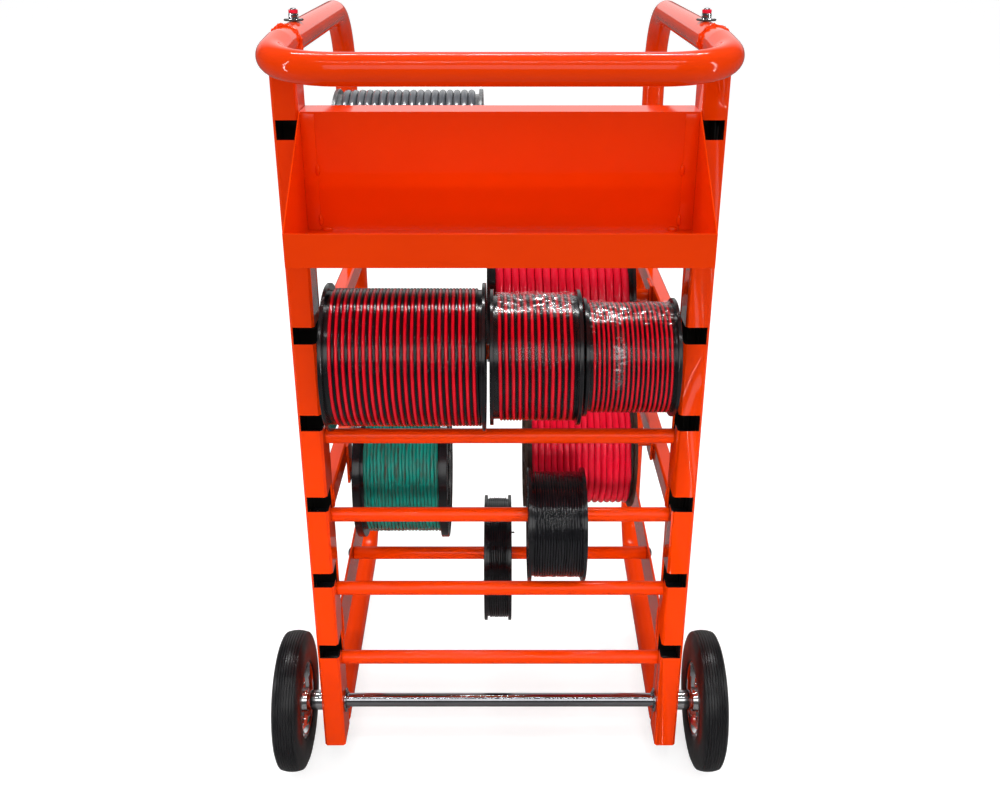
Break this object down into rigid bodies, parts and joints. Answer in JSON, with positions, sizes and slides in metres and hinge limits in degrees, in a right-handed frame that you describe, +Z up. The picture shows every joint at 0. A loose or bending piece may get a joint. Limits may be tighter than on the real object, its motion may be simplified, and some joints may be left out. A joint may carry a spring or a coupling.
{
  "type": "wire spool cart",
  "caption": "Leaning two-wheeled steel rack with a handle loop, a shelf tray and slotted posts that hold lift-out rods of wire spools.",
  "frame": {"origin": "on the floor under the middle of the cart's bounding box", "axes": "+X to the right seen from the handle, +Y from the handle and wheels to the rear, +Z up"},
  "size_m": [0.8172, 0.8687, 1.3185],
  "materials": {
    "orange_paint": "glossy powder coat",
    "zinc": "bright zinc plate",
    "chrome": "bright plated pressed steel",
    "tyre_rubber": "matt ribbed rubber",
    "foot_rubber": "matt rubber",
    "spool_plastic": "moulded black plastic",
    "red_wire": "insulated wire",
    "green_wire": "insulated wire",
    "grey_wire": "insulated wire",
    "black_wire": "insulated wire"
  },
  "bodies": {
    "frame": {"axle": "zinc", "green_spindle": "orange_paint", "grey_spindle": "orange_paint", "handle_loop": "orange_paint", "high_red_spindle": "orange_paint", "left_axle_cap": "zinc", "left_axle_washer": "zinc", "left_lower_side_rail": "orange_paint", "left_middle_side_rail": "orange_paint", "left_rail_bolt": "zinc", "left_rear_foot": "foot_rubber", "left_rung_bar": "orange_paint", "left_rung_bolt": "zinc", "left_side_hoop": "orange_paint", "left_split_pin": "zinc", "left_upper_side_rail": "orange_paint", "left_upright": "orange_paint", "low_red_spindle": "orange_paint", "rear_rung": "orange_paint", "right_axle_cap": "zinc", "right_axle_washer": "zinc", "right_lower_side_rail": "orange_paint", "right_middle_side_rail": "orange_paint", "right_rail_bolt": "zinc", "right_rear_foot": "foot_rubber", "right_rung_bar": "orange_paint", "right_rung_bolt": "zinc", "right_side_hoop": "orange_paint", "right_split_pin": "zinc", "right_upper_side_rail": "orange_paint", "right_upright": "orange_paint", "tray": "orange_paint"},
    "left_wheel": {"left_tyre": "tyre_rubber", "left_rim": "chrome"},
    "right_wheel": {"right_tyre": "tyre_rubber", "right_rim": "chrome"},
    "lowest_rod": {"lowest_rod": "orange_paint"},
    "low_rod": {"low_rod": "orange_paint"},
    "middle_rod": {"middle_rod": "orange_paint"},
    "high_rod": {"high_rod": "orange_paint"},
    "highest_rod": {"highest_rod": "orange_paint"},
    "front_left_spool": {"front_left_spool": "spool_plastic", "front_left_winding": "red_wire"},
    "front_middle_spool": {"front_middle_spool": "spool_plastic", "front_middle_winding": "red_wire"},
    "front_right_spool": {"front_right_spool": "spool_plastic", "front_right_winding": "red_wire"},
    "dark_spool": {"dark_spool": "spool_plastic", "dark_winding": "black_wire"},
    "narrow_spool": {"narrow_spool": "spool_plastic", "narrow_winding": "black_wire"},
    "green_spool": {"green_spool": "spool_plastic", "green_winding": "green_wire"},
    "low_red_spool": {"low_red_spool": "spool_plastic", "low_red_winding": "red_wire"},
    "high_red_spool": {"high_red_spool": "spool_plastic", "high_red_winding": "red_wire"},
    "grey_spool": {"grey_spool": "spool_plastic", "grey_winding": "grey_wire"}
  },
  "joints": [
    {"name": "left_wheel_spin", "type": "hinge", "parent": "frame", "child": "left_wheel", "pos_m": [-0.378, -0.29757, 0.127], "axis": [1, 0, 0], "continuous": true},
    {"name": "right_wheel_spin", "type": "hinge", "parent": "frame", "child": "right_wheel", "pos_m": [0.378, -0.29757, 0.127], "axis": [1, 0, 0], "continuous": true},
    {"name": "lowest_rod_lift", "type": "slide", "parent": "frame", "child": "lowest_rod", "axis": [0, 0.0872, 0.9962], "range_m": [0, 0.042]},
    {"name": "low_rod_lift", "type": "slide", "parent": "frame", "child": "low_rod", "axis": [0, 0.0872, 0.9962], "range_m": [0, 0.02]},
    {"name": "middle_rod_lift", "type": "slide", "parent": "frame", "child": "middle_rod", "axis": [0, 0.0872, 0.9962], "range_m": [0, 0.042]},
    {"name": "high_rod_lift", "type": "slide", "parent": "frame", "child": "high_rod", "axis": [0, 0.0872, 0.9962], "range_m": [0, 0.008]},
    {"name": "highest_rod_lift", "type": "slide", "parent": "frame", "child": "highest_rod", "axis": [0, 0.0872, 0.9962], "range_m": [0, 0.042]},
    {"name": "front_left_spool_spin", "type": "hinge", "parent": "highest_rod", "child": "front_left_spool", "pos_m": [-0.14809, -0.22924, 0.80472], "axis": [1, 0, 0], "continuous": true},
    {"name": "front_middle_spool_spin", "type": "hinge", "parent": "highest_rod", "child": "front_middle_spool", "pos_m": [0.05546, -0.22924, 0.80472], "axis": [1, 0, 0], "continuous": true},
    {"name": "front_right_spool_spin", "type": "hinge", "parent": "highest_rod", "child": "front_right_spool", "pos_m": [0.20449, -0.22924, 0.80472], "axis": [1, 0, 0], "continuous": true},
    {"name": "dark_spool_spin", "type": "hinge", "parent": "middle_rod", "child": "dark_spool", "pos_m": [0.09557, -0.25619, 0.4967], "axis": [1, 0, 0], "continuous": true},
    {"name": "narrow_spool_spin", "type": "hinge", "parent": "frame", "child": "narrow_spool", "pos_m": [-0.00402, -0.06636, 0.27992], "axis": [1, 0, 0], "continuous": true},
    {"name": "green_spool_spin", "type": "hinge", "parent": "frame", "child": "green_spool", "pos_m": [-0.18002, -0.04847, 0.47291], "axis": [1, 0, 0], "continuous": true},
    {"name": "low_red_spool_spin", "type": "hinge", "parent": "frame", "child": "low_red_spool", "pos_m": [0.14544, -0.02943, 0.51842], "axis": [1, 0, 0], "continuous": true},
    {"name": "high_red_spool_spin", "type": "hinge", "parent": "frame", "child": "high_red_spool", "pos_m": [0.1115, 0.12606, 0.74674], "axis": [1, 0, 0], "continuous": true},
    {"name": "grey_spool_spin", "type": "hinge", "parent": "frame", "child": "grey_spool", "pos_m": [-0.144, -0.04564, 1.07897], "axis": [1, 0, 0], "continuous": true}
  ]
}
